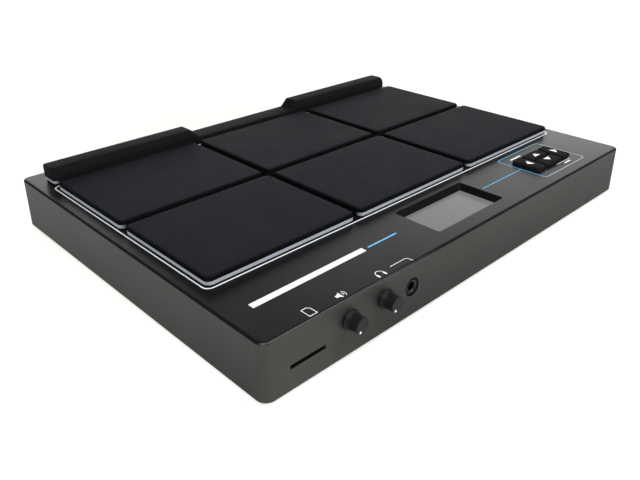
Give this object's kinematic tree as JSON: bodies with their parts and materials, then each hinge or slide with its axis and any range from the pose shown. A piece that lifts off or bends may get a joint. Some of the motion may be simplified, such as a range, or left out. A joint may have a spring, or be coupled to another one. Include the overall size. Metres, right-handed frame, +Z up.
{
  "type": "electronic percussion pad",
  "caption": "Tabletop electronic percussion instrument with lit rubber pads, a rear trigger strip, a sunk display, arrow keys, volume knobs and a headphone socket.",
  "frame": {"origin": "middle of the whole outline, on the floor under the feet", "axes": "+X to the player's right along the front edge, +Y away from the player, +Z up"},
  "size_m": [0.4326, 0.3298, 0.0582],
  "materials": {
    "housing": "fine-grained moulded plastic, satin",
    "pad_rubber": "matte playing rubber",
    "strip_rubber": "matte playing rubber",
    "key_rubber": "satin silicone rubber",
    "light_guide": "frosted translucent plastic",
    "window": "smooth clear window over a light grey display",
    "knob": "soft-touch moulded plastic",
    "foam": "closed-cell foam",
    "sheet_steel": "black powder coat",
    "bare_steel": "bare sheet steel",
    "fastener": "zinc-plated steel",
    "brass": "plain brass",
    "board": "green solder resist",
    "component": "black moulded plastic",
    "socket_metal": "plated steel",
    "foot_rubber": "plain rubber",
    "cable": "flat cable",
    "ink_white": "white screen ink",
    "ink_blue": "blue screen ink"
  },
  "bodies": {
    "case": {"top_case": "housing", "bottom_plate": "sheet_steel", "feet": "foot_rubber", "case_screws": "fastener", "stand_nuts": "brass", "rear_strip": "strip_rubber", "rear_light_guide": "light_guide", "gaskets": "foam", "sensor_plates": "bare_steel", "piezo_discs": "brass", "led_boards": "board", "pad_screws": "fastener", "display_window": "window", "display_module": "component", "key_board": "board", "front_board": "board", "main_volume_pot": "socket_metal", "phones_volume_pot": "socket_metal", "phones_jack": "component", "phones_bush": "socket_metal", "card_socket": "socket_metal", "main_board": "board", "board_screws": "fastener", "flat_cables": "cable", "rear_panel": "sheet_steel", "rear_panel_screws": "fastener", "output_left_jack": "component", "output_right_jack": "component", "trigger_jack": "component", "footswitch_jack": "component", "rear_jack_nuts": "fastener", "midi_in_socket": "component", "midi_out_socket": "component", "usb_socket": "socket_metal", "power_inlet": "component", "power_switch": "component", "pad_1": "pad_rubber", "light_guide_1": "light_guide", "pad_2": "pad_rubber", "light_guide_2": "light_guide", "pad_3": "pad_rubber", "light_guide_3": "light_guide", "pad_4": "pad_rubber", "light_guide_4": "light_guide", "pad_5": "pad_rubber", "light_guide_5": "light_guide", "pad_6": "pad_rubber", "light_guide_6": "light_guide"},
    "main_volume": {"main_volume_knob": "knob", "main_volume_shaft": "bare_steel"},
    "phones_volume": {"phones_volume_knob": "knob", "phones_volume_shaft": "bare_steel"},
    "left_key": {"key_left": "key_rubber"},
    "right_key": {"key_right": "key_rubber"},
    "up_key": {"key_up": "key_rubber"},
    "down_key": {"key_down": "key_rubber"},
    "power": {"power_button": "knob"}
  },
  "joints": [
    {"name": "main_volume_turn", "type": "hinge", "parent": "case", "child": "main_volume", "pos_m": [-0.1486, -0.15235, 0.0302], "axis": [0, 1, 0], "range_deg": [0, 300]},
    {"name": "phones_volume_turn", "type": "hinge", "parent": "case", "child": "phones_volume", "pos_m": [-0.1165, -0.15235, 0.0302], "axis": [0, 1, 0], "range_deg": [0, 300]},
    {"name": "left_key_press", "type": "slide", "parent": "case", "child": "left_key", "axis": [0, 0, -1], "range_m": [0, 0.0008], "stiffness_N_per_m": 900},
    {"name": "right_key_press", "type": "slide", "parent": "case", "child": "right_key", "axis": [0, 0, -1], "range_m": [0, 0.0008], "stiffness_N_per_m": 900},
    {"name": "up_key_press", "type": "slide", "parent": "case", "child": "up_key", "axis": [0, 0, -1], "range_m": [0, 0.0008], "stiffness_N_per_m": 900},
    {"name": "down_key_press", "type": "slide", "parent": "case", "child": "down_key", "axis": [0, 0, -1], "range_m": [0, 0.0008], "stiffness_N_per_m": 900},
    {"name": "power_press", "type": "slide", "parent": "case", "child": "power", "axis": [0, -1, 0], "range_m": [0, 0.002], "stiffness_N_per_m": 800}
  ]
}
